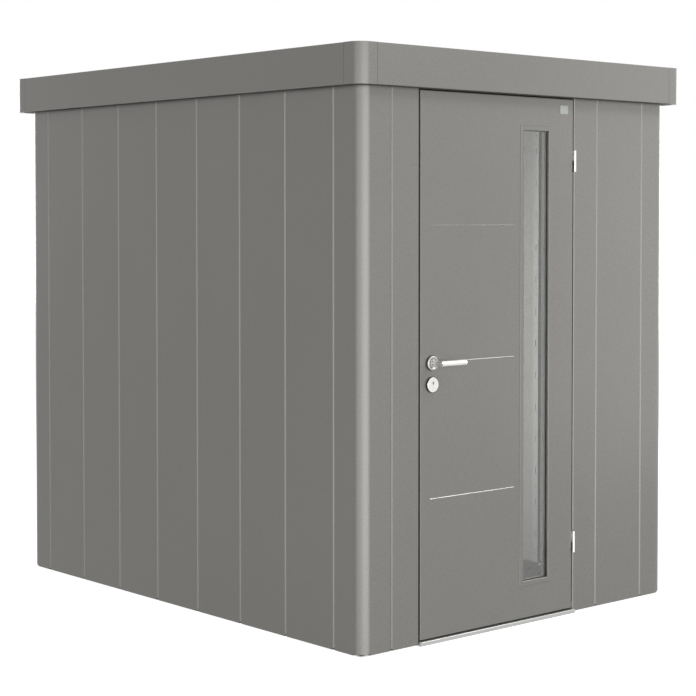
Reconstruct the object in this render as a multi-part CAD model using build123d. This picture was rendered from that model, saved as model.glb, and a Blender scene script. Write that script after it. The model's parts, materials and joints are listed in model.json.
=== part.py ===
from build123d import *
import os

# Metal tool shed of folded steel panels, with a part-glazed hinged door and a flat roof
# behind a deep fascia. Millimetres, +Z up, the front wall faces -Y.
# The origin is on the ground, under the centre of the fascia's outline.

# Plan grid of the walls
panel_pitch = 280.0
corner_leg = 150.0
side_panel_count = 7
back_panel_count = 5
doorway_panels = 3
half_panel = panel_pitch / 2

# Wall sheets
wall_sheet = 1.2
seam_gap = 1.0
seam_facet = 4.0
panel_flange = 22.0
corner_radius = 45.0
fold_relief = 6.0
round_lift = 5.0
wall_top = 2140.0

# Fascia heights, from the wall top
fascia_lap = 80.0
fascia_rise = 70.0

# Base frame and floor
ledge_thickness = 5.0
ledge_setback = 16.0
ledge_width = 44.0
floor_height = 30.0
upright_setback = 26.0
upright_thickness = 3.0
floor_plank_count = 8
floor_sheet = 2.0
floor_gap = 1.5

# Slotted rails on the inner side of the seams
rail_width = 30.0
rail_sheet = 1.5
rail_bottom = 8.0
slot_pitch = 144.0
slot_width = 4.0
slot_height = 28.0
first_slot = 156.0
slot_end_margin = 60.0

# Door leaf
door_gap = 6.5
leaf_bottom = 21.0
leaf_top_gap = 6.0
leaf_depth = 38.0
leaf_sheet = 1.5
leaf_facet = 1.5
inner_sheet = 1.5
bead_width = 5.0
bead_height = 2.0
bead_length = 448.0
bead_inset = 48.0
bead_above_spindle = 2.0
bead_rose_gap = 3.0

# Door frame
frame_sheet = 2.0
stop_clearance = 5.0
stop_lap = 20.0
jamb_width = 35.0

# Door window
window_width = 181.0
window_from_hinge_edge = 121.75
window_from_leaf_bottom = 124.0
window_from_leaf_top = 109.0
window_member = 20.0
window_proud = 2.5
window_flange_lap = 10.0
window_bevel = 1.5
glass_thickness = 4.0
glass_setback = 9.0
glass_edge_play = 3.0

# Lever handle and lock
spindle_backset = 57.75
spindle_height = 1047.0
key_drop = 72.0
rose_radius = 27.0
rose_thickness = 8.5
rose_edge = 1.5
escutcheon_radius = 28.0
lever_radius = 9.5
lever_reach = 58.0
lever_length = 121.0
lever_end_edge = 1.5
lever_play = 0.6
lever_seat = 4.0
spindle_side = 8.0
spindle_play = 1.5
cylinder_radius = 8.5
cylinder_leg_width = 10.0
cylinder_height = 33.0
cylinder_play = 0.5
keyhole_radius = 2.5
keyhole_slot_width = 1.8
keyhole_slot_height = 7.0
keyhole_depth = 6.0
lock_case_height = 165.0
lock_case_depth = 84.0
lock_case_thickness = 15.0
faceplate_height = 235.0
faceplate_width = 20.0
faceplate_thickness = 3.0

# Lift-off hinges
hinge_from_leaf_bottom = 266.0
hinge_from_leaf_top = 242.5
hinge_height = 83.0
hinge_radius = 5.0
hinge_pin_radius = 2.5
hinge_bore_play = 0.1
hinge_split = 1.0
hinge_proud = 6.5
hinge_from_grid = 1.5
hinge_plate = 2.0
hinge_plate_depth = 26.0
pin_length = 36.0

# Sill of the doorway
sill_projection = 12.0
sill_lip_height = 15.0
sill_lip_round = 3.0
sill_overhang = 2.0
sill_back = 60.0

# Roof frame and roof sheets
ring_height = 60.0
ring_width = 38.0
ring_sheet = 2.0
purlin_width = 40.0
purlin_height = 50.0
purlin_count = 3
roof_fall = 18.0
roof_lift = 3.0
roof_tray_count = 5
roof_sheet = 1.0
roof_seam_height = 20.0
roof_seam_half = 2.5
roof_cap_drop = 5.0
roof_edge_gap = 2.0
upstand_inset = 6.5
upstand_sheet = 3.0

# Fascia
fascia_overhang = 50.0
fascia_sheet = 1.5
fascia_radius = 48.0
fascia_corner_lap = 7.5
fascia_edge = 2.0
fascia_lip = 20.0
fascia_inner_leg = 27.5
fascia_joint = 1.0

# Worked out from the values above
wall_bottom = ledge_thickness
width = 2 * corner_leg + back_panel_count * panel_pitch
depth = 2 * corner_leg + side_panel_count * panel_pitch
doorway_left = corner_leg + half_panel
doorway_right = doorway_left + doorway_panels * panel_pitch
opening_left = doorway_left - door_gap / 2
opening_right = doorway_right + door_gap / 2
leaf_left = doorway_left + door_gap / 2
leaf_right = doorway_right - door_gap / 2
ledge_back = ledge_setback + ledge_width
rail_depth = upright_setback
stop_front = leaf_depth + stop_clearance
stop_back = stop_front + frame_sheet
fascia_bottom = wall_top - fascia_lap
fascia_top = wall_top + fascia_rise
fascia_corner_end = fascia_inner_leg + fascia_corner_lap
ring_bottom = wall_top - ring_height
head_underside = fascia_bottom
leaf_top = head_underside - leaf_top_gap
slot_count = int((ring_bottom - slot_end_margin - first_slot) // slot_pitch) + 1
window_right = leaf_right - window_from_hinge_edge
window_left = window_right - window_width
window_bottom = leaf_bottom + window_from_leaf_bottom
window_top = leaf_top - window_from_leaf_top
spindle_from_corner = leaf_left + spindle_backset
bead_pitch = (leaf_top - leaf_bottom) / 4
hinge_heights = (leaf_bottom + hinge_from_leaf_bottom, leaf_top - hinge_from_leaf_top)
ring_front = panel_flange
ring_back = ring_front + ring_width
key_height = spindle_height - key_drop
cylinder_centre = key_height + cylinder_radius - cylinder_height / 2
fascia_lip_end = fascia_lip - fascia_overhang


# A point given from the front left wall corner: along the front, inwards and up
def place(along, inwards, up=0.0):
    return Pos(along - width / 2, inwards - depth / 2, up)


# A box between two corners in the front wall's own measures
def block(along, inwards, up):
    size = [high - low for low, high in (along, inwards, up)]
    return place(along[0], inwards[0], up[0]) * Box(*size, align=(Align.MIN, Align.MIN, Align.MIN))


# A folded sheet's section: the outline of its outer face, thickened to its left
def folded(outline, thickness):
    return make_face(offset(outline, thickness, kind=Kind.INTERSECTION, side=Side.LEFT).edges())


def raised(section, bottom, top):
    return extrude(Pos(0, 0, bottom) * section, amount=top - bottom, dir=(0, 0, 1))


# A section drawn as inwards and up, run along the front wall
def run_along(section, start, end):
    return extrude(place(start, 0) * Plane.YZ.location * section, amount=end - start, dir=(1, 0, 0))


# Each wall has its own start corner, and its measures run from there
def on_wall(shape, side):
    corner, turn = {
        "front": ((-width / 2, -depth / 2), 0),
        "right": ((width / 2, -depth / 2), 90),
        "back": ((width / 2, depth / 2), 180),
        "left": ((-width / 2, depth / 2), 270),
    }[side]
    return Pos(*corner) * Rot(0, 0, turn) * shape


def save(shape, name):
    export_step(shape, f"parts/{name}.step")


# A wall panel is a shallow pan with its four edges folded in, relieved at its lower corners
def wall_panel(start, end):
    outline = Polyline(
        (start, panel_flange),
        (start, seam_facet),
        (start + seam_facet, 0),
        (end - seam_facet, 0),
        (end, seam_facet),
        (end, panel_flange),
        close=True,
    )
    pan = raised(make_face(outline.edges()), wall_bottom, wall_top)
    back_face = pan.faces().sort_by(Axis.Y)[-1]
    pan = offset(pan, -wall_sheet, openings=back_face, kind=Kind.INTERSECTION)
    relief = Box(fold_relief, 2 * panel_flange, fold_relief, align=(Align.MIN, Align.MIN, Align.MIN))
    for edge in (start, end - fold_relief):
        pan -= Pos(edge, -panel_flange / 2, wall_bottom) * relief
    return pan


def side_seams(count):
    return [corner_leg + step * panel_pitch for step in range(count + 1)]


def make_side_panels():
    seams = side_seams(side_panel_count)
    for number in range(side_panel_count):
        panel = wall_panel(seams[number] + seam_gap / 2, seams[number + 1] - seam_gap / 2)
        save(on_wall(panel, "left"), f"left_wall_panel_{side_panel_count - number}")
        save(on_wall(panel, "right"), f"right_wall_panel_{number + 1}")


def make_back_panels():
    seams = side_seams(back_panel_count)
    for number in range(back_panel_count):
        panel = wall_panel(seams[number] + seam_gap / 2, seams[number + 1] - seam_gap / 2)
        save(on_wall(panel, "back"), f"back_wall_panel_{number + 1}")


def make_front_panels():
    first = wall_panel(corner_leg + seam_gap / 2, opening_left)
    narrow_end = doorway_right + half_panel
    second = wall_panel(opening_right, narrow_end - seam_gap / 2)
    third = wall_panel(narrow_end + seam_gap / 2, width - corner_leg - seam_gap / 2)
    save(on_wall(first, "front"), "front_wall_panel_left")
    save(on_wall(second, "front"), "front_wall_panel_right_1")
    save(on_wall(third, "front"), "front_wall_panel_right_2")


# The corner post is bent round a large radius, and its round stretch ends above its flat legs
def corner_post():
    end = corner_leg - seam_gap / 2
    side_leg = Polyline(
        (panel_flange, end),
        (seam_facet, end),
        (0, end - seam_facet),
        (0, corner_radius),
    )
    bend = CenterArc((corner_radius, corner_radius), corner_radius, 180, 90)
    front_leg = Polyline(
        (corner_radius, 0),
        (end - seam_facet, 0),
        (end, seam_facet),
        (end, panel_flange),
    )
    post = raised(folded(side_leg + bend + front_leg, wall_sheet), wall_bottom, wall_top)
    low = (Align.MIN, Align.MIN, Align.MIN)
    foot_length = end - fold_relief - corner_radius
    post += Pos(corner_radius, 0, wall_bottom) * Box(foot_length, panel_flange, wall_sheet, align=low)
    post += Pos(0, corner_radius, wall_bottom) * Box(panel_flange, foot_length, wall_sheet, align=low)
    post -= Pos(-1, -1, wall_bottom) * Box(corner_radius + 1, corner_radius + 1, round_lift, align=low)
    relief = Box(fold_relief, fold_relief, fold_relief, align=low)
    for corner in ((end - fold_relief, -1), (-1, end - fold_relief)):
        post -= Pos(corner[0], corner[1], wall_bottom) * relief
    return post


def make_corner_posts():
    post = corner_post()
    save(on_wall(post, "front"), "corner_post_front_left")
    save(on_wall(post, "right"), "corner_post_front_right")
    save(on_wall(post, "back"), "corner_post_back_right")
    save(on_wall(post, "left"), "corner_post_back_left")


# Base bars: a flat ledge that the walls stand on and an upright that edges the floor
def base_bar(start, end, upright_start, upright_end, upright_back):
    low = (Align.MIN, Align.MIN, Align.MIN)
    ledge = Pos(start, ledge_setback, 0) * Box(end - start, ledge_width, ledge_thickness, align=low)
    length = upright_end - upright_start
    rise = floor_height - ledge_thickness
    upright = Pos(upright_start, upright_setback, ledge_thickness)
    upright = upright * Box(length, upright_back - upright_setback, rise, align=low)
    return ledge + upright


def make_base_frame():
    upright_back = upright_setback + upright_thickness
    bar_gap = seam_gap / 2
    long_start = ledge_back + bar_gap
    long_bar = base_bar(long_start, depth - long_start, long_start, depth - long_start, upright_back)
    inner = ledge_setback
    across = width - upright_setback
    back_bar = base_bar(inner, width - inner, upright_setback, across, upright_back)
    jamb_outer = opening_left - jamb_width
    left_bar = base_bar(inner, opening_left, upright_setback, jamb_outer - bar_gap, ledge_back)
    right_start = opening_right + jamb_width + bar_gap
    right_bar = base_bar(opening_right, width - inner, right_start, across, ledge_back)
    bars = [
        on_wall(long_bar, "left"),
        on_wall(long_bar, "right"),
        on_wall(back_bar, "back"),
        on_wall(left_bar, "front"),
        on_wall(right_bar, "front"),
    ]
    save(Compound(children=[bar.solid() for bar in bars]), "base_frame")


# Floor planks are inverted trays that lie on the ledges, side by side from front to back
def make_floor_panels():
    side = upright_setback + upright_thickness + floor_gap
    first = ledge_back + floor_gap
    last = depth - side
    pitch = (last - first) / floor_plank_count
    planks = []
    for number in range(floor_plank_count):
        front = first + number * pitch
        back = front + pitch - floor_gap
        plank = block((side, width - side), (front, back), (ledge_thickness, floor_height))
        under = plank.faces().sort_by(Axis.Z)[0]
        planks.append(offset(plank, -floor_sheet, openings=under, kind=Kind.INTERSECTION).solid())
    save(Compound(children=planks), "floor_panels")


# Sill: a threshold with a rounded lip in front and an upstand behind the door leaf
def make_door_sill():
    outline = Polyline(
        (-sill_projection, 0),
        (sill_back, 0),
        (sill_back, floor_height),
        (stop_back, floor_height),
        (stop_back, sill_lip_height),
        (-sill_projection, sill_lip_height),
        close=True,
    )
    section = make_face(outline.edges())
    nose = section.vertices().group_by(Axis.X)[0].sort_by(Axis.Y)[-1]
    section = fillet(nose, sill_lip_round)
    low = opening_left - sill_overhang
    high = opening_right + sill_overhang
    sill = run_along(section, low, high)
    for start, end in ((low, opening_left), (opening_right, high)):
        sill -= block((start, end), (0, sill_back), (0, floor_height))
    save(sill, "door_sill")


# Rails: channels over the seams on the inner side
def plain_rail():
    half = rail_width / 2
    outline = Polyline((half, wall_sheet), (half, rail_depth), (-half, rail_depth), (-half, wall_sheet))
    return raised(folded(outline, rail_sheet), rail_bottom, ring_bottom)


# The rails between the side panels have a row of hook slots
def slotted_rail():
    rail = plain_rail()
    slot = Box(slot_width, 4 * rail_sheet, slot_height)
    for number in range(slot_count):
        rail -= Pos(0, rail_depth, first_slot + number * slot_pitch) * slot
    return rail


def make_slotted_rails():
    plain = plain_rail()
    slotted = slotted_rail()
    first, *between, last = side_seams(side_panel_count)
    front_seams = (corner_leg, doorway_right + half_panel, width - corner_leg)
    places = [(slotted, side, seam) for side in ("left", "right") for seam in between]
    places += [(plain, side, seam) for side in ("left", "right") for seam in (first, last)]
    places += [(plain, "back", seam) for seam in side_seams(back_panel_count)]
    places += [(plain, "front", seam) for seam in front_seams]
    rails = [on_wall(Pos(seam, 0) * rail, side).solid() for rail, side, seam in places]
    save(Compound(children=rails), "slotted_rails")


# Door frame: two folded jambs with stops, and a head that closes the wall above the leaf
def jamb(reveal, outwards):
    back = stop_back
    stop_edge = reveal - outwards * (door_gap + stop_lap)
    outer = reveal + outwards * jamb_width
    bottom = sill_lip_height
    top = head_underside - seam_gap / 2
    leg = block(sorted((outer, outer - outwards * frame_sheet)), (wall_sheet, back), (bottom, top))
    face = block(sorted((outer, stop_edge)), (stop_front, back), (bottom, top))
    inner = block(sorted((reveal, reveal + outwards * frame_sheet)), (panel_flange, back), (bottom, top))
    return leg + face + inner


def make_door_frame():
    left = jamb(opening_left, -1)
    right = jamb(opening_right, 1)
    play = seam_gap / 2
    ends = (opening_left + play, opening_right - play)
    stop_ends = (opening_left + door_gap + stop_lap + play, opening_right - door_gap - stop_lap - play)
    front_strip = block(ends, (0, frame_sheet), (head_underside, wall_top))
    soffit = block(ends, (0, stop_back), (head_underside, head_underside + frame_sheet))
    hanger = block(ends, (stop_front, stop_back), (head_underside, ring_bottom))
    stop = block(stop_ends, (stop_front, stop_back), (leaf_top - stop_lap, head_underside))
    head = front_strip + soffit + hanger + stop
    save(Compound(children=[left.solid(), right.solid(), head.solid()]), "door_frame")


# Roof plane: its fall runs to the back, and the roof sheets lie on it
roof_start = fascia_inner_leg + roof_edge_gap
roof_run = depth - 2 * roof_start
roof_plane = Plane(
    origin=(0, depth / 2 - roof_start, wall_top + roof_lift),
    x_dir=(1, 0, 0),
    z_dir=Vector(0, roof_fall, roof_run).normalized(),
)


# One bar of the roof ring: a channel open to the wall, with an upstand cut to the roof's fall
def ring_bar(start, end, upstand_lap):
    outline = Polyline(
        (ring_front, ring_bottom),
        (ring_back, ring_bottom),
        (ring_back, wall_top),
        (ring_front, wall_top),
    )
    section = Plane.YZ.location * folded(outline, ring_sheet)
    bar = Pos(start, 0) * extrude(section, amount=end - start, dir=(1, 0, 0))
    low = (Align.MIN, Align.MIN, Align.MIN)
    rise = roof_fall + 2 * roof_lift
    upstand_front = roof_start + upstand_inset
    length = end - start - 2 * upstand_lap
    upstand = Pos(start + upstand_lap, upstand_front, wall_top) * Box(length, upstand_sheet, rise, align=low)
    return bar + upstand


# Roof ring: four bars on top of the rails that carry the edges of the roof sheets
def make_roof_ring():
    upstand_lap = roof_start + upstand_inset + upstand_sheet + seam_gap - ring_front
    across = ring_bar(ring_front, width - ring_front, upstand_lap)
    side_start = ring_back + seam_gap / 2
    along = ring_bar(side_start, depth - side_start, 0)
    bars = [on_wall(across, "front"), on_wall(across, "back")]
    bars += [on_wall(along, "right"), on_wall(along, "left")]
    above = Box(2 * width, 2 * depth, wall_top, align=(Align.CENTER, Align.CENTER, Align.MIN))
    above = roof_plane.location * above
    save(Compound(children=[(bar - above).solid() for bar in bars]), "roof_ring")


# Purlins: tubes between the side bars, level with the roof plane
def make_purlins():
    bay = roof_run / (purlin_count + 1)
    span = width - 2 * ring_back
    hung = (Align.CENTER, Align.CENTER, Align.MAX)
    tube = Box(span, purlin_width, purlin_height, align=hung)
    wall = 2 * ring_sheet
    bore = Box(span, purlin_width - wall, purlin_height - wall, align=hung)
    tube -= Pos(0, 0, -ring_sheet) * bore
    purlins = [roof_plane.location * Pos(0, -bay * (number + 1)) * tube for number in range(purlin_count)]
    save(Compound(children=[purlin.solid() for purlin in purlins]), "purlins")


# Roof sheets: trays with upstands, each capping its neighbour's upstand
def make_roof_sheets():
    roof_width = width - 2 * roof_start
    pitch = roof_width / roof_tray_count
    top = roof_seam_height
    inner_top = top - 2 * roof_sheet - 1
    trays = []
    for number in range(roof_tray_count):
        left = -roof_width / 2 + number * pitch + roof_seam_half / 2
        right = -roof_width / 2 + (number + 1) * pitch - roof_seam_half
        points = [(left, inner_top), (left, 0), (right, 0), (right, top)]
        if number < roof_tray_count - 1:
            cap = right + 3 * roof_seam_half
            points += [(cap, top), (cap, top - roof_cap_drop)]
        section = folded(Polyline(*points), roof_sheet)
        tray = extrude(Plane.XZ.location * section, amount=roof_run, dir=(0, -1, 0))
        trays.append((roof_plane.location * tray).solid())
    save(Compound(children=trays), "roof_sheets")


# Fascia: a deep channel round the roof, with a lip under the overhang and a shadow gap to the wall
def fascia_section():
    outline = Polyline(
        (fascia_inner_leg, wall_top),
        (fascia_inner_leg, fascia_top),
        (fascia_edge - fascia_overhang, fascia_top),
        (-fascia_overhang, fascia_top - fascia_edge),
        (-fascia_overhang, fascia_bottom + fascia_edge),
        (fascia_edge - fascia_overhang, fascia_bottom),
        (fascia_lip_end, fascia_bottom),
    )
    return folded(outline, fascia_sheet)


def fascia_length(length):
    start = fascia_corner_end + fascia_joint
    section = Plane.YZ.location * fascia_section()
    return Pos(start, 0) * extrude(section, amount=length - 2 * start, dir=(1, 0, 0))


# A flat L between two offsets from the walls, with its outer corner rounded
def corner_band(outer, inner, bottom, top):
    end = fascia_corner_end
    low = (Align.MIN, Align.MIN)
    band = Pos(outer, outer) * Rectangle(end - outer, end - outer, align=low)
    radius = fascia_radius - (outer + fascia_overhang)
    if radius > 0:
        band = round_corner(band, radius)
    hole = Pos(inner, inner) * Rectangle(end - inner + 1, end - inner + 1, align=low)
    inner_radius = fascia_radius - (inner + fascia_overhang)
    if inner_radius > 0:
        hole = round_corner(hole, inner_radius)
    return raised(band - hole, bottom, top)


# Rounds the vertex nearest to the outside of the corner
def round_corner(face, radius):
    nearest = min(face.vertices(), key=lambda vertex: vertex.X + vertex.Y)
    return fillet(nearest, radius)


def fascia_corner():
    outer = -fascia_overhang
    inner = outer + fascia_sheet
    piece = corner_band(outer, inner, fascia_bottom, fascia_top)
    piece += corner_band(outer, fascia_inner_leg, fascia_top - fascia_sheet, fascia_top)
    piece += corner_band(outer, fascia_lip_end, fascia_bottom, fascia_bottom + fascia_sheet)
    piece += corner_band(fascia_inner_leg - fascia_sheet, fascia_inner_leg, wall_top, fascia_top)
    return piece


def make_fascia():
    runs = {"front": width, "right": depth, "back": width, "left": depth}
    lengths = [on_wall(fascia_length(run), side).solid() for side, run in runs.items()]
    save(Compound(children=lengths), "fascia_lengths")
    corners = [on_wall(fascia_corner(), side).solid() for side in runs]
    save(Compound(children=corners), "fascia_corners")


# Cuts in both door sheets for the window, the spindle and the lock cylinder
def door_cuts():
    lap = window_flange_lap
    window = block(
        (window_left + lap, window_right - lap),
        (-1, leaf_depth + 1),
        (window_bottom + lap, window_top - lap),
    )
    through = leaf_depth + 2
    spindle = Rot(90, 0, 0) * Cylinder(lever_radius + spindle_play, through)
    spindle = place(spindle_from_corner, leaf_depth / 2, spindle_height) * spindle
    return window + spindle + lock_cylinder(-1, leaf_depth + 1, cylinder_play)


# Profile cylinder: a round plug with a narrower leg below it
def lock_cylinder(front, back, play):
    radius = cylinder_radius + play
    leg_width = cylinder_leg_width + 2 * play
    drop = cylinder_height - cylinder_radius - leg_width / 2 + play
    leg = Pos(0, -drop / 2) * Rectangle(leg_width, drop)
    section = Circle(radius) + leg + Pos(0, -drop) * Circle(leg_width / 2)
    body = extrude(Plane.XZ.location * section, amount=back - front, dir=(0, 1, 0))
    return place(spindle_from_corner, front, key_height) * body


def make_door_leaf():
    outline = Polyline(
        (leaf_left, leaf_depth - inner_sheet),
        (leaf_left, leaf_facet),
        (leaf_left + leaf_facet, 0),
        (leaf_right - leaf_facet, 0),
        (leaf_right, leaf_facet),
        (leaf_right, leaf_depth - inner_sheet),
        close=True,
    )
    leaf = place(0, 0) * raised(make_face(outline.edges()), leaf_bottom, leaf_top)
    back_face = leaf.faces().sort_by(Axis.Y)[-1]
    leaf = offset(leaf, -leaf_sheet, openings=back_face, kind=Kind.INTERSECTION)

    start = leaf_left + bead_inset
    end = start + bead_length
    past_rose = spindle_from_corner + rose_radius + bead_rose_gap
    ridge = Polyline((0, -bead_width / 2), (-bead_height, 0), (0, bead_width / 2), close=True)
    ridge = make_face(ridge.edges())
    for step, first in ((-1, start), (0, past_rose), (1, start)):
        height = spindle_height + bead_above_spindle + step * bead_pitch
        bead = run_along(Pos(0, height) * ridge, first, end)
        leaf += bead
        leaf -= Pos(0, leaf_sheet) * bead
    leaf -= door_cuts()
    plate_top = key_height + key_drop / 2 + faceplate_height / 2
    face = leaf_depth / 2
    leaf -= block(
        (leaf_left - 1, leaf_left + leaf_sheet + 1),
        (face - faceplate_width / 2, face + faceplate_width / 2),
        (plate_top - faceplate_height, plate_top),
    )
    save(leaf, "door_leaf")


def make_door_inner_panel():
    panel = block((leaf_left, leaf_right), (leaf_depth - inner_sheet, leaf_depth), (leaf_bottom, leaf_top))
    save(panel - door_cuts(), "door_inner_panel")


# Window frame: an outer and an inner rim that clamp the pane between their sleeves
def window_ring(inset, member, front, back):
    outer = block(
        (window_left + inset, window_right - inset),
        (front, back),
        (window_bottom + inset, window_top - inset),
    )
    opening = block(
        (window_left + member, window_right - member),
        (front - 1, back + 1),
        (window_bottom + member, window_top - member),
    )
    return outer - opening


def make_window():
    lap = window_flange_lap
    pane_front = glass_setback
    pane_back = pane_front + glass_thickness
    front_rim = window_ring(0, window_member, -window_proud, 0)
    rim_edges = front_rim.faces().sort_by(Axis.Y)[0].edges()
    front_rim = chamfer(rim_edges, window_bevel)
    outer_half = front_rim + window_ring(lap, window_member, 0, pane_front)
    back_rim = window_ring(0, window_member, leaf_depth, leaf_depth + window_proud)
    inner_half = back_rim + window_ring(lap, window_member, pane_back, leaf_depth)
    save(Compound(children=[outer_half.solid(), inner_half.solid()]), "window_frame")
    edge = lap + glass_edge_play
    pane = block(
        (window_left + edge, window_right - edge),
        (pane_front, pane_back),
        (window_bottom + edge, window_top - edge),
    )
    save(pane, "window_glass")


# A round plate on the door face: its seat is at the given depth, and it stands outwards
def rose(radius, height, seat, outwards):
    disc = Rot(90, 0, 0) * Cylinder(radius, rose_thickness)
    middle = seat + outwards * rose_thickness / 2
    disc = place(spindle_from_corner, middle, height) * disc
    faces = disc.faces().filter_by(GeomType.PLANE).sort_by(Axis.Y)
    outer_face = faces[0] if outwards < 0 else faces[-1]
    return chamfer(outer_face.edges(), rose_edge)


def make_door_lock():
    sides = ((0, -1), (leaf_depth, 1))
    bore = Rot(90, 0, 0) * Cylinder(lever_radius + lever_play, 3 * leaf_depth)
    bore = place(spindle_from_corner, leaf_depth / 2, spindle_height) * bore
    roses = [(rose(rose_radius, spindle_height, seat, outwards) - bore).solid() for seat, outwards in sides]

    cylinder = lock_cylinder(-rose_thickness, leaf_depth + rose_thickness, 0)
    lock = cylinder
    for seat, outwards in sides:
        lock += rose(escutcheon_radius, cylinder_centre, seat, outwards)
    for mouth in (-rose_thickness, leaf_depth + rose_thickness):
        hole = Rot(90, 0, 0) * Cylinder(keyhole_radius, 2 * keyhole_depth)
        slot = Box(keyhole_slot_width, 2 * keyhole_depth, keyhole_slot_height)
        slot = Pos(0, 0, -keyhole_slot_height / 2) * slot
        lock -= place(spindle_from_corner, mouth, key_height) * (hole + slot)

    middle = leaf_depth / 2
    centre = key_height + key_drop / 2
    plate = block(
        (leaf_left, leaf_left + faceplate_thickness),
        (middle - faceplate_width / 2, middle + faceplate_width / 2),
        (centre - faceplate_height / 2, centre + faceplate_height / 2),
    )
    case = block(
        (leaf_left + faceplate_thickness, leaf_left + lock_case_depth),
        (middle - lock_case_thickness / 2, middle + lock_case_thickness / 2),
        (centre - lock_case_height / 2, centre + lock_case_height / 2),
    )
    spindle_hole = Rot(90, 0, 0) * Cylinder(spindle_side, leaf_depth)
    case -= place(spindle_from_corner, middle, spindle_height) * spindle_hole
    lock += case + plate
    save(Compound(children=[*roses, lock.solid()]), "door_lock")


# One lever: a neck out of the door and a mitred grip along it
def lever(seat, outwards):
    start = place(spindle_from_corner, seat + outwards * lever_seat, spindle_height)
    reach = lever_reach - lever_seat
    path = Polyline((0, 0, 0), (0, outwards * reach, 0), (lever_length, outwards * reach, 0))
    section = Plane(origin=(0, 0, 0), z_dir=(0, outwards, 0)) * Circle(lever_radius)
    bar = sweep(section, path=path, transition=Transition.RIGHT)
    end_face = bar.faces().sort_by(Axis.X)[-1]
    return start * chamfer(end_face.edges(), lever_end_edge)


def make_door_handle():
    outside = lever(0, -1)
    inside = lever(leaf_depth, 1)
    length = leaf_depth + 2 * lever_seat
    spindle = Box(spindle_side, length, spindle_side)
    spindle = place(spindle_from_corner, leaf_depth / 2, spindle_height) * spindle
    save(outside + inside + spindle, "door_handle")


# Lift-off hinges: the lower knuckle carries the pin, and the upper one turns on it
def make_hinges():
    axis_along = doorway_right + hinge_from_grid
    knuckle_height = (hinge_height - hinge_split) / 2
    bore_radius = hinge_pin_radius + hinge_bore_play
    fixed = []
    moving = []
    for centre in hinge_heights:
        bottom = centre - hinge_height / 2
        upper = centre + hinge_split / 2
        axis = place(axis_along, -hinge_proud)
        low = (Align.CENTER, Align.CENTER, Align.MIN)
        half = axis * Pos(0, 0, bottom) * Cylinder(hinge_radius, knuckle_height, align=low)
        plate = block(
            (opening_right - hinge_plate, opening_right),
            (-hinge_proud, hinge_plate_depth),
            (bottom, bottom + knuckle_height),
        )
        half += plate
        pin = Cylinder(hinge_pin_radius, knuckle_height + pin_length, align=low)
        half += axis * Pos(0, 0, bottom) * pin
        fixed.append(half.solid())

        half = axis * Pos(0, 0, upper) * Cylinder(hinge_radius, knuckle_height, align=low)
        half += block(
            (leaf_right, leaf_right + hinge_plate),
            (-hinge_proud, hinge_plate_depth),
            (upper, upper + knuckle_height),
        )
        half -= axis * Pos(0, 0, upper - 1) * Cylinder(bore_radius, pin_length + 2, align=low)
        moving.append(half.solid())
    save(Compound(children=fixed), "frame_hinge_halves")
    save(Compound(children=moving), "door_hinge_halves")


os.makedirs("parts", exist_ok=True)
make_base_frame()
make_floor_panels()
make_door_sill()
make_corner_posts()
make_side_panels()
make_back_panels()
make_front_panels()
make_slotted_rails()
make_door_frame()
make_roof_ring()
make_purlins()
make_roof_sheets()
make_fascia()
make_door_leaf()
make_door_inner_panel()
make_window()
make_door_lock()
make_door_handle()
make_hinges()
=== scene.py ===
import json
import math

import bmesh
import bpy
from mathutils import Matrix, Vector


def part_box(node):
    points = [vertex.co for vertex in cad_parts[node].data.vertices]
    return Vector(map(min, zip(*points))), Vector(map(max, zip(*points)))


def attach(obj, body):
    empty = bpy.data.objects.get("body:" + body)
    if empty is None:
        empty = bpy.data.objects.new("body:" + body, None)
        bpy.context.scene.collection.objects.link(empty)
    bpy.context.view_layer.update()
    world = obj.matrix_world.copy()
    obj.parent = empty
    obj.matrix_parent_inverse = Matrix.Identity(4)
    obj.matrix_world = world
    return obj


# A metal tool shed: powder-coated folded panels, stainless lever and lock, bright sill.
# Metres, +Z up, the door wall faces -Y.
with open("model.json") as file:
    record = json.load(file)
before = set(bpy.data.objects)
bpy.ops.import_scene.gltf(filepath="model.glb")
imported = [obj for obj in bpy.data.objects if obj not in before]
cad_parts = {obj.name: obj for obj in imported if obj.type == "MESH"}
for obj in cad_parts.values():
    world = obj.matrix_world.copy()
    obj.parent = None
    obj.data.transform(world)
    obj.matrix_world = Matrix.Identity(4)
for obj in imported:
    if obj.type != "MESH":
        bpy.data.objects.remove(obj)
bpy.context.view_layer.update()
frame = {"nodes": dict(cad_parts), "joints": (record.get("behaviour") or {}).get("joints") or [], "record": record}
nodes = frame["nodes"]

# The photograph's frame in pixels, and the camera that was solved from it
photo_size = 696
focal_pixels = 1755.65
centre_column = 362.0
centre_row = 275.0
camera_place = Vector((-4.9888, -5.8308, 1.5878))
camera_yaw = 41.402
camera_pitch = 1.883
sensor = 36.0

# Finishes, as linear colours
quartz_grey = (0.213, 0.207, 0.193, 1)
quartz_light = (0.249, 0.243, 0.229, 1)
inner_grey = (0.235, 0.230, 0.218, 1)
mill_metal = (0.52, 0.52, 0.51, 1)
dull_metal = (0.08, 0.08, 0.078, 1)
anodised = (0.545, 0.55, 0.535, 1)
stainless = (0.87, 0.86, 0.84, 1)
# Darker copy of the stainless for the rose rim and lever collar: painted shade and dim reflection
rose_shaded_steel = (0.45, 0.445, 0.435, 1)
zinc = (0.82, 0.82, 0.82, 1)
badge_grey = (0.40, 0.42, 0.40, 1)
# Black of the real seals, also used for the pieces of painted shade and shadow
rubber_black_and_shade = (0.036, 0.036, 0.036, 1)
gasket_grey = (0.055, 0.055, 0.055, 1)
joint_grey = (0.42, 0.42, 0.41, 1)
pane_green = (0.93, 0.96, 0.945, 1)
pane_clear = (0.97, 0.985, 0.98, 1)
floor_white = (0.45, 0.45, 0.45, 1)
floor_glow = 0.94
floor_half = 30.0

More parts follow.
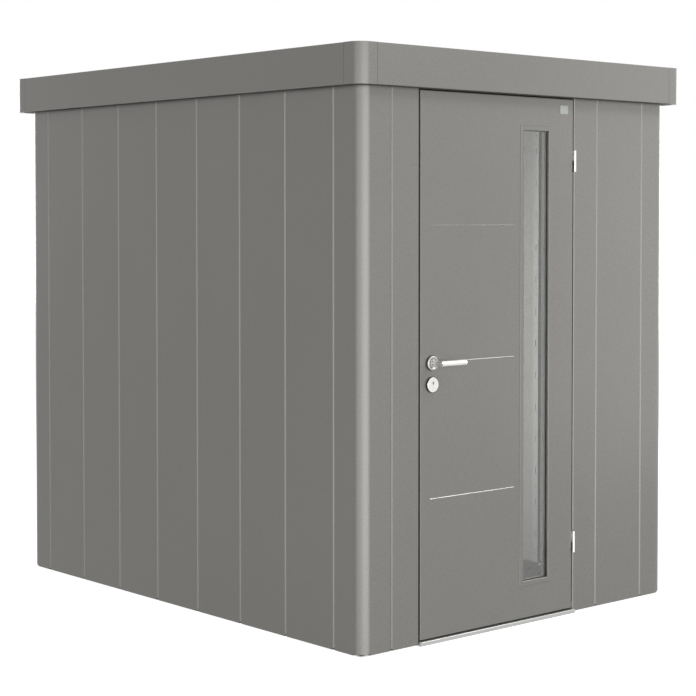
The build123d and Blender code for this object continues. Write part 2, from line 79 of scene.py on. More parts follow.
# How often each pattern repeats in a metre, and how deep its bumps are
tone_repeats = 1.7
flake_repeats = 2600.0
peel_repeats = 520.0
peel_depth = 0.00012
brush_repeats = 900.0
brush_length_repeats = 9.0
brush_tone_repeats = 6.0
brush_depth = 0.00004
crystal_repeats = 260.0
grain_repeats = 1500.0
grain_depth = 0.00008
smear_repeats = 4.0

# Door leaf, window and hinges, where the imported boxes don't give the size by themselves
leaf_depth = 0.038
door_gap = 0.0065
stop_depth = 0.043
window_member = 0.020
glass_setback = 0.009
glass_thickness = 0.004
hinge_plate = 0.002
hinge_from_bottom = 0.266
hinge_from_top = 0.2425

# Bare plate near the top of the leaf
badge_width = 0.0465
badge_height = 0.0345
badge_thickness = 0.0016
badge_from_edge = 0.031
badge_bottom = 1.996
badge_easing = 0.0006
badge_rim = 0.0022
badge_slope = 0.0005
badge_sink = 0.0006

# Round plates of the lever and the lock, with the drops from the spindle to the key and to
# the middle of the lock plate
rose_thickness = 0.0085
key_drop = 0.072
plate_drop = 0.080

# Profiles turned on the lever's round plate: radius, and height above its face
rim_profile = (
    (0.0268, 0.0),
    (0.0268, 0.0004),
    (0.0258, 0.0016),
    (0.0222, 0.0019),
    (0.0206, 0.0016),
    (0.0152, 0.0001),
    (0.0152, 0.0),
)
collar_profile = (
    (0.0096, 0.0004),
    (0.0131, 0.0004),
    (0.0131, 0.0026),
    (0.0124, 0.0034),
    (0.0096, 0.0034),
)

# Black seats round both round plates, widened into rings of painted contact shadow
handle_seat_shadow_radius = 0.0284
lock_seat_shadow_radius = 0.0295
seat_shadow_thickness = 0.0068
seat_shadow_width = 0.003
seat_shadow_easing = 0.0005

# Profile cylinder, the fine joint round it, and its keyhole, whose dark lining and mouth are painted shade
plug_radius = 0.0085
leg_half_width = 0.005
profile_height = 0.033
joint_width = 0.0003
joint_height = 0.0004
joint_proud = 0.00012
keyhole_radius = 0.0025
keyhole_half_width = 0.0009
keyhole_foot = 0.0070
lining_gap = 0.00006
lining_top = 0.0006
lining_bottom = 0.0016
mouth_width = 0.0008
mouth_depth = 0.0004
mouth_proud = 0.0001

# Latch and bolt ends in the faceplate
latch_height = 0.024
bolt_height = 0.036
latch_half_width = 0.006
latch_proud = 0.0011
latch_root = 0.001
latch_easing = 0.0005

# Gaskets of the pane, the seal on the door stops, and the black strip of painted shade in the gap on the hinge
# side
gasket_reach = 0.0018
gasket_rise = 0.0022
gasket_lip = 0.0008
door_seal_inset = 0.0105
door_seal_half_width = 0.0045
door_seal_height = 0.0039
strip_thickness = 0.0010
strip_setback = 0.0030
strip_from_back = 0.004
strip_lift = 0.03
strip_root = 0.0005
strip_easing = 0.0003

# The walls' grid, the floor, and the roof's trays, height and fall to the back
half_width = 0.850
half_depth = 1.130
side_panels = 7
back_panels = 5
panel_pitch = 0.280
corner_leg = 0.150
wall_corner_radius = 0.045
rail_inset = 0.026
floor_top = 0.030
floor_planks = 8
roof_edge = 1.1005
roof_back_height = 2.144
roof_slope = 0.018 / 2.201
roof_trays = 5
tray_width = 0.3282

# Foam seal between the walls and the fascia's lip; its black strip under the lip is painted shade on the lip's
# underside
fascia_bottom = 2.060
lip_inner_edge = 0.030
lip_clearance = 0.001
lip_overlap = 0.0002
seal_root = 0.0005
seal_and_shade_reach = 0.0465
seal_and_shade_drop = 0.0005
seal_rise = 0.010

# Fasteners: radius and height of the head, then of its washer, and the head's sides
roof_screw = (0.0045, 0.0042, 0.0085, 0.0014, 6)
frame_bolt = (0.0042, 0.0032, 0.0075, 0.0010, 6)
flat_screw = (0.0030, 0.0004, 0.0034, 0.0002, 24)
blind_rivet = (0.0028, 0.0009, 0.0030, 0.0002, 16)
head_taper = 0.82
washer_taper = 0.92
washer_sides = 18
fastener_seed = 7

# Places of the fasteners on what they hold
pair_offset = 0.09
edge_screw_inset = 0.03
roof_screw_rows = 5
rail_bolt_heights = (0.084, 0.372, 1.236, 1.956)
sill_screws = 4
sill_screw_inset = 0.06
sill_screw_setback = 0.0075
hinge_screw_offset = 0.021
hinge_screw_depths = (0.009, 0.020)
faceplate_screw_offset = 0.108
rivet_inset = 0.032
rivets_up = 9
rivets_across = 5

# Light: the screens round the near corner, and the plain glow from all sides
screen_distance = 4.5
screen_bottom = -1.6
screen_top = 2.8
ambient_light = 0.03

# Places on the walls and on the shut door, worked out from the sizes above and the frame
near_corner = Vector((-half_width, -half_depth, 0.0))
inner_low, inner_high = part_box("door_inner_panel")
leaf_face = inner_high.y - leaf_depth
leaf_middle = leaf_face + leaf_depth / 2
door_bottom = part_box("door_frame")[0].z
hinge_face = inner_high.x + door_gap - hinge_plate
hinge_centres = (inner_low.z + hinge_from_bottom, inner_high.z - hinge_from_top)
spindle = next(Vector(joint["pos_m"]) for joint in frame["joints"] if joint["name"] == "handle_turn")


# A shader value: arithmetic on it adds Math nodes, and node() adds any other node
class Wire:
    def __init__(self, tree, socket=None):
        self.tree = tree
        self.socket = socket

    def node(self, kind, settings=None, sockets=None, output=0):
        made = self.tree.nodes.new(kind)
        for name, value in (settings or {}).items():
            setattr(made, name, value)
        for name, value in (sockets or {}).items():
            if isinstance(value, Wire):
                self.tree.links.new(value.socket, made.inputs[name])
            else:
                made.inputs[name].default_value = value
        return Wire(self.tree, made.outputs[output]) if made.outputs else None

    def maths(self, operation, first, second=0.0):
        return self.node("ShaderNodeMath", {"operation": operation}, {0: first, 1: second})

    def __add__(self, other):
        return self.maths("ADD", self, other)

    def __radd__(self, other):
        return self.maths("ADD", other, self)

    def __sub__(self, other):
        return self.maths("SUBTRACT", self, other)

    def __rsub__(self, other):
        return self.maths("SUBTRACT", other, self)

    def __mul__(self, other):
        return self.maths("MULTIPLY", self, other)

    def __rmul__(self, other):
        return self.maths("MULTIPLY", other, self)


# A new material with its shader's constant values set, and the wire that starts its pattern
def new_material(name, **constants):
    material = bpy.data.materials.new(name)
    material.use_nodes = True
    shader = material.node_tree.nodes["Principled BSDF"]
    for socket, value in constants.items():
        shader.inputs[socket.replace("_", " ")].default_value = value
    return material, shader, Wire(material.node_tree)


def connect(wire, shader, socket):
    wire.tree.links.new(wire.socket, shader.inputs[socket])


# Object coordinates, stretched along one axis where a scale is given
def coordinates(start, scale=(1, 1, 1)):
    place = start.node("ShaderNodeTexCoord", output="Object")
    return place.node("ShaderNodeMapping", sockets={"Vector": place, "Scale": scale})


def noise(place, scale, detail=2.0, roughness=0.5):
    sockets = {"Vector": place, "Scale": scale, "Detail": detail, "Roughness": roughness}
    return place.node("ShaderNodeTexNoise", sockets=sockets)


def blended(factor, first, second):
    settings = {"data_type": "RGBA"}
    return factor.node("ShaderNodeMix", settings, {0: factor, 6: first, 7: second}, output=2)


# A share of a colour, for the dark side of its pattern
def darker(colour, share):
    return [part * share for part in colour[:3]] + [1]


def bumped(height, shader, distance):
    sockets = {"Height": height, "Distance": distance, "Strength": 1.0}
    connect(height.node("ShaderNodeBump", sockets=sockets), shader, "Normal")


# Metallic powder coat: broad tone, flakes under the coat and a fine orange peel
def powder_coat(name, dark, light, roughness=0.28):
    material, shader, start = new_material(name, Metallic=0.42, IOR=1.5)
    place = coordinates(start)
    broad = noise(place, tone_repeats, detail=3.0)
    flakes = noise(place, flake_repeats, detail=1.0)
    peel = noise(place, peel_repeats)
    tone = 0.25 + broad * 0.5 + (flakes - 0.5) * 0.5
    connect(blended(tone, dark, light), shader, "Base Color")
    connect(roughness - 0.03 + peel * 0.06, shader, "Roughness")
    bumped(peel, shader, peel_depth)
    return material


# Drawn or brushed metal: fine lines that run along X
def brushed(name, colour, roughness, metallic=1.0):
    material, shader, start = new_material(name, Metallic=metallic)
    place = coordinates(start, (brush_length_repeats, brush_repeats, brush_repeats))
    lines = noise(place, 1.0, detail=3.0, roughness=0.6)
    broad = noise(coordinates(start), brush_tone_repeats)
    connect(blended(lines * 0.7 + broad * 0.3, darker(colour, 0.86), colour), shader, "Base Color")
    connect(roughness - 0.06 + lines * 0.12, shader, "Roughness")
    bumped(lines, shader, brush_depth)
    return material


# Zinc plating: small crystals that catch the light
def zinc_plate(name, colour):
    material, shader, start = new_material(name, Metallic=1.0)
    place = coordinates(start)
    sockets = {"Vector": place, "Scale": crystal_repeats}
    crystals = place.node("ShaderNodeTexVoronoi", sockets=sockets, output="Color")
    grey = crystals.node("ShaderNodeRGBToBW", sockets={0: crystals})
    connect(blended(grey, darker(colour, 0.85), colour), shader, "Base Color")
    connect(0.22 + grey * 0.14, shader, "Roughness")
    return material


# Rubber or plastic with a fine grain
def rubber(name, light):
    material, shader, start = new_material(name, Metallic=0.0)
    grain = noise(coordinates(start), grain_repeats)
    connect(blended(grain, darker(light, 0.5), light), shader, "Base Color")
    connect(0.55 + grain * 0.2, shader, "Roughness")
    bumped(grain, shader, grain_depth)
    return material


# Clear pane with a faint grey-green body
def pane(name):
    material, shader, start = new_material(name, Metallic=0.0, IOR=1.5, Transmission_Weight=1.0)
    smear = noise(coordinates(start), smear_repeats, detail=3.0)
    connect(blended(smear, pane_green, pane_clear), shader, "Base Color")
    connect(0.004 + smear * 0.012, shader, "Roughness")
    return material


# The record's ten slots first, then the finishes of the small pieces that are made here
coat = powder_coat("quartz_powder_coat", quartz_grey, quartz_light)
finishes = {
    "coated_steel": coat,
    "roof_steel": powder_coat("roof_powder_coat", quartz_grey, quartz_light, roughness=0.44),
    "frame_steel": powder_coat("inner_powder_coat", quartz_grey, inner_grey, roughness=0.42),
    "floor_metal": brushed("floor_sheet", dull_metal, roughness=0.5, metallic=0.6),
    "base_metal": brushed("mill_aluminium", mill_metal, roughness=0.42),
    "sill_metal": brushed("anodised_sill", anodised, roughness=0.34, metallic=0.75),
    "window_metal": coat,
    "window_pane": pane("clear_pane"),
    "fittings_steel": brushed("satin_stainless", stainless, roughness=0.30, metallic=0.8),
    "hinge_steel": zinc_plate("bright_zinc", zinc),
    "rose": brushed("shaded_stainless", rose_shaded_steel, roughness=0.34, metallic=0.85),
    "badge": brushed("badge_plate", badge_grey, roughness=0.36, metallic=0.7),
    "rubber": rubber("black_rubber_and_painted_shade", rubber_black_and_shade),
    "joint": rubber("fine_joint", joint_grey),
    "gasket": rubber("grey_gasket", gasket_grey),
}
for row in frame["record"]["subparts"]:
    mesh = nodes[row["node"]].data
    mesh.materials.clear()
    mesh.materials.append(finishes[row["material_slot"]])


# One finished mesh: welded, its faces outwards, with its finish and body
def finished(name, shape, finish, body, smooth=False):
    bmesh.ops.remove_doubles(shape, verts=shape.verts, dist=1e-7)
    bmesh.ops.recalc_face_normals(shape, faces=shape.faces)
    mesh = bpy.data.meshes.new(name)
    shape.to_mesh(mesh)
    shape.free()
    for face in mesh.polygons:
        face.use_smooth = smooth
    mesh.materials.append(finish)
    piece = bpy.data.objects.new(name, mesh)
    bpy.context.scene.collection.objects.link(piece)
    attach(piece, body)


# A plate between two corners, with its edges eased
def add_plate(shape, low, high, easing):
    low, high = Vector(low), Vector(high)
    size = high - low
    place = Matrix.Translation((low + high) / 2) @ Matrix.Diagonal((*size, 1))
    made = bmesh.ops.create_cube(shape, size=1, matrix=place)
    edges = {edge for vert in made["verts"] for edge in vert.link_edges}
    bmesh.ops.bevel(shape, geom=list(edges), offset=easing, segments=2, affect="EDGES", profile=0.6)


# Joins rows of points, each row closed on itself, into a skin that meets its own start or
# else is capped at both ends
def add_skin(shape, rings, closed):
    count = len(rings[0])
    spans = len(rings) if closed else len(rings) - 1
    for step in range(spans):
        here, there = rings[step], rings[(step + 1) % len(rings)]
        for index in range(count):
            after = (index + 1) % count
            shape.faces.new((here[index], here[after], there[after], there[index]))
    if not closed:
        shape.faces.new(rings[0])
        shape.faces.new(rings[-1])


# A turned ring on the door's outer side: its profile is radius and height above a face
def add_turned(shape, centre, profile, steps=72):
    rings = []
    for step in range(steps):
        angle = 2 * math.pi * step / steps
        across = Vector((math.cos(angle), 0, math.sin(angle)))
        points = [centre + across * radius + Vector((0, -rise, 0)) for radius, rise in profile]
        rings.append([shape.verts.new(point) for point in points])
    add_skin(shape, rings, closed=True)


# A strip that edges an upright rectangle, mitred at its corners, from a profile of inset and
# depth; an open one leaves out the bottom side and ends square there
def add_rim(shape, low, high, profile, closed=True):
    foot = 1 if closed else 0
    corners = (
        (low.x, low.z, 1, foot),
        (low.x, high.z, 1, -1),
        (high.x, high.z, -1, -1),
        (high.x, low.z, -1, foot),
    )
    rings = []
    for x, z, inwards, upwards in corners:
        points = [(x + inwards * inset, y, z + upwards * inset) for inset, y in profile]
        rings.append([shape.verts.new(point) for point in points])
    add_skin(shape, rings, closed)


# Points along an arc round a centre, both ends included
def arc(x, y, radius, start, sweep, steps):
    angles = [start + sweep * step / steps for step in range(steps + 1)]
    return [(x + radius * math.cos(angle), y + radius * math.sin(angle)) for angle in angles]


# Bare plate near the top of the leaf, with a low rim round a sunk field
def make_badge():
    shape = bmesh.new()
    right = inner_high.x - badge_from_edge
    low = (right - badge_width, leaf_face - badge_thickness, badge_bottom)
    high = (right, leaf_face, badge_bottom + badge_height)
    add_plate(shape, low, high, badge_easing)
    field = min(shape.faces, key=lambda face: face.calc_center_median().y)
    bmesh.ops.inset_region(shape, faces=[field], thickness=badge_rim)
    bmesh.ops.inset_region(shape, faces=[field], thickness=badge_slope, depth=-badge_sink)
    finished("bare_plate", shape, finishes["badge"], "door")


# Rose rim with a dished middle, and the collar that turns with the lever, both in a darker copy of the stainless
# that is painted shade and dim reflection
def make_rose_rims():
    seat = Vector((spindle.x, leaf_face - rose_thickness, spindle.z))
    shape = bmesh.new()
    add_turned(shape, seat, rim_profile)
    finished("rose_rim", shape, finishes["rose"], "door", smooth=True)
    shape = bmesh.new()
    add_turned(shape, seat, collar_profile)
    finished("lever_collar", shape, finishes["rose"], "handle", smooth=True)


# Black plastic seats that stand out a little round both roses, widened into rings of painted contact shadow
def make_seats_and_shadow_rings():
    shape = bmesh.new()
    top = seat_shadow_thickness
    for drop, radius in ((0.0, handle_seat_shadow_radius), (plate_drop, lock_seat_shadow_radius)):
        centre = Vector((spindle.x, leaf_face, spindle.z - drop))
        inside = radius - seat_shadow_width
        profile = (
            (inside, 0.0),
            (radius, 0.0),
            (radius, top - seat_shadow_easing),
            (radius - seat_shadow_easing, top),
            (inside, top),
        )
        add_turned(shape, centre, profile)
    finished("rose_seats_and_painted_shadow", shape, finishes["rubber"], "door")


# A row of points about the key: across, depth below the lock plate's face, and up
def key_ring(shape, points):
    face = leaf_face - rose_thickness
    height = spindle.z - key_drop
    return [shape.verts.new((spindle.x + x, face + depth, height + z)) for x, depth, z in points]


# Outline of the keyhole, moved out by a given amount
def keyhole_points(out):
    radius = keyhole_radius + out
    half = keyhole_half_width + out
    foot = keyhole_foot + out
    turn = math.asin(half / radius)
    bow = arc(0, 0, radius, turn - math.pi / 2, 2 * (math.pi - turn), steps=24)
    return bow + [(-half, -foot), (half, -foot)]


# Painted shade in the keyhole: a dark lining below the lock plate's face, and a thin dark mouth round it
def make_keyhole_shade():
    lining = ((-lining_gap, lining_top), (-lining_gap, lining_bottom))
    mouth = (
        (0.0, -mouth_proud),
        (mouth_width, -mouth_proud),
        (mouth_width, mouth_depth),
        (0.0, mouth_depth),
    )
    shape = bmesh.new()
    for rows, closed in ((lining, False), (mouth, True)):
        rings = []
        for out, depth in rows:
            rings.append(key_ring(shape, [(x, depth, z) for x, z in keyhole_points(out)]))
        add_skin(shape, rings, closed)
    finished("keyhole_painted_shade", shape, finishes["rubber"], "door")


# Outline of the profile cylinder, set in by a given amount
def profile_points(inset):
    radius = plug_radius - inset
    leg = leg_half_width - inset
    drop = profile_height - plug_radius - leg_half_width
    start = -math.acos(leg / radius)
    plug = arc(0, 0, radius, start, math.pi - 2 * start, steps=28)
    return plug + arc(0, -drop, leg, math.pi, math.pi, steps=14)


# Fine joint in the lock plate, round the profile cylinder
def make_cylinder_joint():
    front = -joint_proud
    back = joint_height - joint_proud
    shape = bmesh.new()
    rings = []
    for (x0, z0), (x1, z1) in zip(profile_points(0.0), profile_points(joint_width)):
        section = ((x0, front, z0), (x1, front, z1), (x1, back, z1), (x0, back, z0))
        rings.append(key_ring(shape, section))
    add_skin(shape, rings, closed=True)
    finished("cylinder_joint", shape, finishes["joint"], "door")


# Rubber gaskets on both sides of the pane
def make_pane_gaskets():
    low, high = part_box("window_frame")
    front = leaf_face + glass_setback
    shape = bmesh.new()
    for face, rise in ((front, -gasket_rise), (front + glass_thickness, gasket_rise)):
        profile = (
            (window_member, face),
            (window_member, face + rise),
            (window_member + gasket_lip, face + rise),
            (window_member + gasket_reach, face),
        )
        add_rim(shape, low, high, profile)
    finished("pane_gaskets", shape, finishes["gasket"], "door")


# Half-round seal on the stops of the door frame
def make_door_seal():
    stop = leaf_face + stop_depth
    low = Vector((inner_low.x, stop, door_bottom))
    high = Vector((inner_high.x, stop, inner_high.z))
    profile = []
    for x, y in arc(0, 0, 1, 0, math.pi, steps=8):
        profile.append((door_seal_inset - door_seal_half_width * x, stop - door_seal_height * y))
    shape = bmesh.new()
    add_rim(shape, low, high, profile, closed=False)
    finished("door_seal", shape, finishes["rubber"], "shed")


# Outline of the walls, with their round corners, moved out by a given amount
def wall_outline(out):
    corner_x = half_width - wall_corner_radius
    corner_y = half_depth - wall_corner_radius
    radius = wall_corner_radius + out
    quarter = math.pi / 2
    points = []
    for turns, (x, y) in enumerate(((1, 1), (-1, 1), (-1, -1), (1, -1))):
        points += arc(x * corner_x, y * corner_y, radius, quarter * turns, quarter, steps=8)
    return points


# Black foam seal in the gap between the walls and the fascia's lip, with a black strip under the lip that is
# painted shade on the lip's underside
def make_eaves_shade_and_seal():
    low = fascia_bottom - seal_and_shade_drop
    middle = fascia_bottom + lip_overlap
    high = fascia_bottom + seal_rise
    tongue = lip_inner_edge - lip_clearance
    section = (
        (-seal_root, low),
        (seal_and_shade_reach, low),
        (seal_and_shade_reach, middle),
        (tongue, middle),
        (tongue, high),
        (-seal_root, high),
    )
    shape = bmesh.new()
    rings = []
    for out, z in section:
        rings.append([shape.verts.new((x, y, z)) for x, y in wall_outline(out)])
    add_skin(shape, rings, closed=True)
    finished("eaves_seal_and_painted_shade", shape, finishes["rubber"], "shed")


# Black strip in the gap on the hinge side: painted shade in the gap
def make_hinge_gap_shade():
    jamb = inner_high.x + door_gap
    back = leaf_face + leaf_depth - strip_from_back
    low = (jamb - strip_thickness, leaf_face + strip_setback, door_bottom + strip_lift)
    high = (jamb + strip_root, back, inner_high.z)
    shape = bmesh.new()
    add_plate(shape, low, high, strip_easing)
    finished("hinge_gap_painted_shade", shape, finishes["rubber"], "shed")


# Latch and bolt ends in the faceplate
def make_latch():
    edge = inner_low.x
    shape = bmesh.new()
    for height, tall in ((spindle.z, latch_height), (spindle.z - key_drop, bolt_height)):
        low = (edge - latch_proud, leaf_middle - latch_half_width, height - tall / 2)
        high = (edge + latch_root, leaf_middle + latch_half_width, height + tall / 2)
        add_plate(shape, low, high, latch_easing)
    finished("latch_and_bolt", shape, finishes["fittings_steel"], "door")


# Tree that sets a round or six-sided head on a washer at each point, turned by chance
def head_tree():
    kinds = {
        "Points": "Geometry",
        "Head Radius": "Float",
        "Head Height": "Float",
        "Washer Radius": "Float",
        "Washer Height": "Float",
        "Sides": "Int",
        "Seed": "Int",
        "Finish": "Material",
    }
    tree = bpy.data.node_groups.new("fastener_heads", "GeometryNodeTree")
    face = tree.interface
    inputs = {}
    for label, kind in kinds.items():
        inputs[label] = face.new_socket(name=label, in_out="INPUT", socket_type="NodeSocket" + kind)
    face.new_socket(name="Heads", in_out="OUTPUT", socket_type="NodeSocketGeometry")
    start = Wire(tree)
    given = {label: start.node("NodeGroupInput", output=index) for index, label in enumerate(inputs)}

    def cone(sides, radius, taper, height):
        sizes = {"Vertices": sides, "Radius Top": radius * taper, "Radius Bottom": radius, "Depth": height}
        return start.node("GeometryNodeMeshCone", {"fill_type": "NGON"}, sizes)

    washer = cone(washer_sides, given["Washer Radius"], washer_taper, given["Washer Height"])
    head = cone(given["Sides"], given["Head Radius"], head_taper, given["Head Height"])
    lift = start.node("ShaderNodeCombineXYZ", sockets={2: given["Washer Height"]})
    head = start.node("GeometryNodeTransform", sockets={"Geometry": head, "Translation": lift})
    both = start.node("GeometryNodeJoinGeometry", sockets={0: washer})
    tree.links.new(head.socket, both.socket.node.inputs[0])
    attribute = "GeometryNodeInputNamedAttribute"
    outward = start.node(attribute, {"data_type": "FLOAT_VECTOR"}, {"Name": "outward"})
    turned = start.node("FunctionNodeAlignRotationToVector", {"axis": "Z"}, {"Vector": outward})
    limits = {2: 0.0, 3: math.tau, "Seed": given["Seed"]}
    chance = start.node("FunctionNodeRandomValue", {"data_type": "FLOAT"}, limits, output=1)
    spin = start.node("FunctionNodeAxisAngleToRotation", sockets={"Axis": (0, 0, 1), "Angle": chance})
    turned = start.node("FunctionNodeRotateRotation", {"rotation_space": "LOCAL"}, {0: turned, 1: spin})
    placing = {"Points": given["Points"], "Instance": both, "Rotation": turned}
    placed = start.node("GeometryNodeInstanceOnPoints", sockets=placing)
    whole = start.node("GeometryNodeRealizeInstances", sockets={0: placed})
    whole = start.node("GeometryNodeSetMaterial", sockets={0: whole, "Material": given["Finish"]})
    start.node("NodeGroupOutput", sockets={0: whole})
    return tree, inputs


# Heads of one kind at a list of places, each with the direction it faces
def make_heads(name, spots, kind, finish, body):
    tree, inputs = heads
    points = bpy.data.meshes.new(name + "_points")
    points.from_pydata([spot for spot, outward in spots], [], [])
    facing = points.attributes.new("outward", "FLOAT_VECTOR", "POINT")
    for value, (spot, outward) in zip(facing.data, spots):
        value.vector = outward
    seeds = bpy.data.objects.new(name + "_points", points)
    bpy.context.scene.collection.objects.link(seeds)
    modifier = seeds.modifiers.new("heads", "NODES")
    modifier.node_group = tree
    labels = ("Head Radius", "Head Height", "Washer Radius", "Washer Height", "Sides")
    values = dict(zip(labels, kind), Seed=fastener_seed, Finish=finish)
    for label, value in values.items():
        modifier[inputs[label].identifier] = value
    bpy.context.view_layer.update()
    evaluated = seeds.evaluated_get(bpy.context.evaluated_depsgraph_get())
    mesh = bpy.data.meshes.new_from_object(evaluated)
    bpy.data.objects.remove(seeds)
    mesh.name = name
    piece = bpy.data.objects.new(name, mesh)
    bpy.context.scene.collection.objects.link(piece)
    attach(piece, body)


# Even places from the first to the last
def spread(first, last, count):
    return [first + (last - first) * step / (count - 1) for step in range(count)]


# Distances of a wall's seams from the outer corner, for a number of panels
def seams(count):
    return [corner_leg + panel_pitch * step for step in range(count + 1)]


def make_roof_screws():
    spots = []
    for y in spread(-roof_edge + edge_screw_inset, roof_edge - edge_screw_inset, roof_screw_rows):
        height = roof_back_height + (roof_edge - y) * roof_slope
        for tray in range(roof_trays):
            middle = tray_width * (tray + 0.5 - roof_trays / 2)
            for offset in (-pair_offset, pair_offset):
                spots.append(((middle + offset, y, height), (0, roof_slope, 1)))
    make_heads("roof_screws", spots, roof_screw, finishes["hinge_steel"], "shed")


# Bolts through the upright rails, on their inner side
def make_rail_bolts():
    side = half_width - rail_inset
    back = half_depth - rail_inset
    spots = []
    for along in seams(side_panels):
        for x, inwards in ((-side, 1), (side, -1)):
            spots += [((x, along - half_depth, z), (inwards, 0, 0)) for z in rail_bolt_heights]
    for along in seams(back_panels):
        spots += [((along - half_width, back, z), (0, -1, 0)) for z in rail_bolt_heights]
    make_heads("rail_bolts", spots, frame_bolt, finishes["frame_steel"], "shed")


def make_floor_bolts():
    low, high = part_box("floor_panels")
    spots = []
    for plank in range(floor_planks):
        y = low.y + (high.y - low.y) * (plank + 0.5) / floor_planks
        for x in (low.x + edge_screw_inset, 0.0, high.x - edge_screw_inset):
            spots += [((x, y + offset, floor_top), (0, 0, 1)) for offset in (-pair_offset, pair_offset)]
    make_heads("floor_bolts", spots, frame_bolt, finishes["hinge_steel"], "shed")


# Flat screws of the sill and of the frame's hinge halves
def make_flat_screws():
    low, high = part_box("door_sill")
    spots = []
    for x in spread(low.x + sill_screw_inset, high.x - sill_screw_inset, sill_screws):
        spots.append(((x, high.y - sill_screw_setback, floor_top), (0, 0, 1)))
    for centre in hinge_centres:
        z = centre - hinge_screw_offset
        spots += [((hinge_face, leaf_face + depth, z), (-1, 0, 0)) for depth in hinge_screw_depths]
    make_heads("flat_screws", spots, flat_screw, finishes["hinge_steel"], "shed")


# Flat screws of the lock's faceplate and of the door's hinge halves
def make_door_screws():
    plate = spindle.z - key_drop / 2
    face = inner_high.x + hinge_plate
    spots = []
    for offset in (-faceplate_screw_offset, faceplate_screw_offset):
        spots.append(((inner_low.x, leaf_middle, plate + offset), (-1, 0, 0)))
    for centre in hinge_centres:
        z = centre + hinge_screw_offset
        spots += [((face, leaf_face + depth, z), (1, 0, 0)) for depth in hinge_screw_depths]
    make_heads("door_screws", spots, flat_screw, finishes["hinge_steel"], "door")


# Rivets round the edge of the door's inner panel
def make_door_rivets():
    back = inner_high.y
    left, right = inner_low.x + rivet_inset, inner_high.x - rivet_inset
    bottom, top = inner_low.z + rivet_inset, inner_high.z - rivet_inset
    spots = []
    for z in spread(bottom, top, rivets_up):
        spots += [((x, back, z), (0, 1, 0)) for x in (left, right)]
    for x in spread(left, right, rivets_across)[1:-1]:
        spots += [((x, back, z), (0, 1, 0)) for z in (bottom, top)]
    make_heads("door_rivets", spots, blind_rivet, coat, "door")


# Pale floor: for the camera and glass it also glows up to white and keeps the shadow, and
# gloss looks past it to the white surroundings
def make_floor():
    half = floor_half
    corners = [(-half, -half, 0), (half, -half, 0), (half, half, 0), (-half, half, 0)]
    mesh = bpy.data.meshes.new("pale_floor")
    mesh.from_pydata(corners, [], [(0, 1, 2, 3)])
    floor = bpy.data.objects.new("pale_floor", mesh)
    bpy.context.scene.collection.objects.link(floor)
    material, shader, start = new_material("pale_floor", Base_Color=floor_white, Roughness=0.9)
    shader.inputs["Emission Color"].default_value = (1, 1, 1, 1)
    connect(seen(start) * floor_glow, shader, "Emission Strength")
    glossy = start.node("ShaderNodeLightPath", output="Is Glossy Ray")
    clear = start.node("ShaderNodeBsdfTransparent")
    surface = Wire(start.tree, shader.outputs[0])
    mixed = start.node("ShaderNodeMixShader", sockets={0: glossy, 1: surface, 2: clear})
    connect(mixed, material.node_tree.nodes["Material Output"], "Surface")
    mesh.materials.append(material)


# 1 for camera, glossy and transmission rays, and 0 for the rays that light the object
def seen(start):
    path = "ShaderNodeLightPath"
    rays = ("Is Camera Ray", "Is Glossy Ray", "Is Transmission Ray")
    camera, glossy, through = [start.node(path, output=ray) for ray in rays]
    return camera + glossy + through


def make_world(ambient):
    world = bpy.data.worlds.new("studio")
    bpy.context.scene.world = world
    world.use_nodes = True
    background = world.node_tree.nodes["Background"]
    background.inputs["Color"].default_value = (1, 1, 1, 1)
    start = Wire(world.node_tree)
    connect(ambient + seen(start) * (1 - ambient), background, "Strength")


# A softbox of a given glow, aimed at a target: a glow of 1 is the brightness of white, and
# a beam under 180 degrees keeps the light together
def softbox(name, place, target, width, height, glow, beam=180):
    light = bpy.data.lights.new(name, "AREA")
    light.shape = "RECTANGLE"
    light.size = width
    light.size_y = height
    light.energy = glow * math.pi * width * height
    light.spread = math.radians(beam)
    lamp = bpy.data.objects.new(name, light)
    lamp.location = place
    aim = Vector(target) - Vector(place)
    lamp.rotation_euler = aim.to_track_quat("-Z", "Y").to_euler()
    lamp.visible_camera = False
    bpy.context.scene.collection.objects.link(lamp)


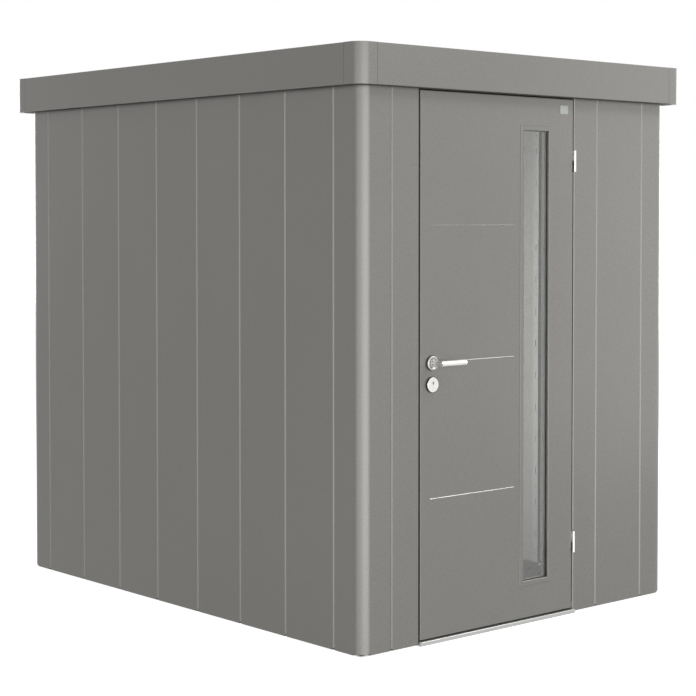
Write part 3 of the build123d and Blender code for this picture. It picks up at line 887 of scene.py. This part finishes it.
# An upright screen of light on an arc round the near corner, between two compass angles
# that run from the left wall's outward direction to the front wall's at 90
def light_screen(name, from_angle, to_angle, glow, distance=screen_distance, bottom=screen_bottom):
    middle = math.radians((from_angle + to_angle) / 2)
    half = distance * math.tan(math.radians((to_angle - from_angle) / 2))
    height = (bottom + screen_top) / 2
    place = near_corner + Vector((-math.cos(middle), -math.sin(middle), 0)) * distance
    place.z = height
    target = (near_corner.x, near_corner.y, height)
    softbox(name, place, target, 2 * half, screen_top - bottom, glow)


def make_lamps():
    light_screen("left_screen", -2, 36, glow=1.0)
    light_screen("camera_screen", 36, 56, glow=1.5)
    light_screen("front_screen", 56, 96, glow=2.2)
    light_screen("wide_screen", 96, 116, glow=1.9)
    light_screen("right_screen", 145, 172, glow=0.5, distance=5.0, bottom=0.02)
    softbox("high_box", (3.1, -3.7, 4.6), (0.2, -1.1, 1.0), width=3.0, height=1.6, glow=10.5)
    softbox("roof_box", (0.0, 0.0, 4.6), (0.0, 0.0, 0.0), width=1.8, height=2.4, glow=1.6)
    softbox("gable_box", (5.6, 0.6, 2.2), (0.85, 0.0, 1.1), width=3.0, height=3.0, glow=4.0)
    softbox("back_box", (-0.4, 6.2, 2.4), (0.0, 1.13, 1.1), width=3.0, height=3.0, glow=4.0)
    middle = (0.85, 0.3, 1.05)
    softbox("inside_box", (-0.74, 0.1, 1.05), middle, width=1.2, height=1.9, glow=3.5, beam=105)


def make_camera():
    data = bpy.data.cameras.new("camera")
    data.sensor_width = sensor
    data.lens = focal_pixels / photo_size * sensor
    data.shift_x = (photo_size / 2 - centre_column) / photo_size
    data.shift_y = (centre_row - photo_size / 2) / photo_size
    camera = bpy.data.objects.new("camera", data)
    camera.location = camera_place
    camera.rotation_euler = (math.radians(90 - camera_pitch), 0, math.radians(-camera_yaw))
    bpy.context.scene.collection.objects.link(camera)
    bpy.context.scene.camera = camera


make_badge()
make_rose_rims()
make_cylinder_joint()
make_pane_gaskets()
make_door_seal()
make_seats_and_shadow_rings()
make_keyhole_shade()
make_eaves_shade_and_seal()
make_hinge_gap_shade()
make_latch()
heads = head_tree()
make_roof_screws()
make_rail_bolts()
make_floor_bolts()
make_flat_screws()
make_door_screws()
make_door_rivets()
make_floor()
make_world(ambient_light)
make_lamps()
make_camera()
bpy.context.scene.view_settings.view_transform = "Standard"
